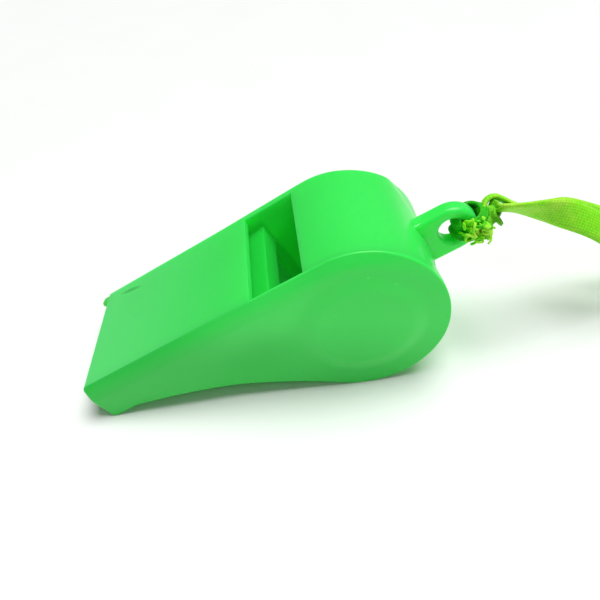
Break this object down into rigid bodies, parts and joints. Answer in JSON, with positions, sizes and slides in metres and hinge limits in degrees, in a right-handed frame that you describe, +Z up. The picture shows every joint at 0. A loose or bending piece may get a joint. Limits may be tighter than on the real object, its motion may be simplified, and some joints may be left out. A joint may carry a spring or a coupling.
{
  "type": "training whistle",
  "caption": "Moulded plastic pea whistle with a round chamber, sound window and rear loop, on a flat woven neck lanyard folded into a hank.",
  "frame": {"origin": "middle of the whistle's footprint on the surface it stands on, midway between its sides; the lanyard is left out", "axes": "+X from the mouth end to the lanyard loop, +Y across the whistle towards the wall moulded with the body, +Z up"},
  "size_m": [0.1475, 0.024, 0.023],
  "materials": {
    "body_plastic": "gloss, slightly translucent neon green",
    "cover_plastic": "gloss, slightly translucent neon green",
    "cork": "cork",
    "tape": "flat woven tape, lime",
    "tie": "hook and loop strip"
  },
  "bodies": {
    "whistle": {"whistle_body": "body_plastic", "side_cover": "cover_plastic", "lanyard_hitch": "tape", "lanyard_knot": "tape", "lanyard_tails": "tape", "lanyard_strand_out": "tape", "lanyard_strand_back": "tape", "lanyard_hank": "tape", "hank_tie": "tie"},
    "pea": {"pea": "cork"}
  },
  "joints": [
    {"name": "pea_orbit", "type": "hinge", "parent": "whistle", "child": "pea", "pos_m": [0.01054, 0, 0.0115], "axis": [0, 1, 0], "continuous": true}
  ]
}
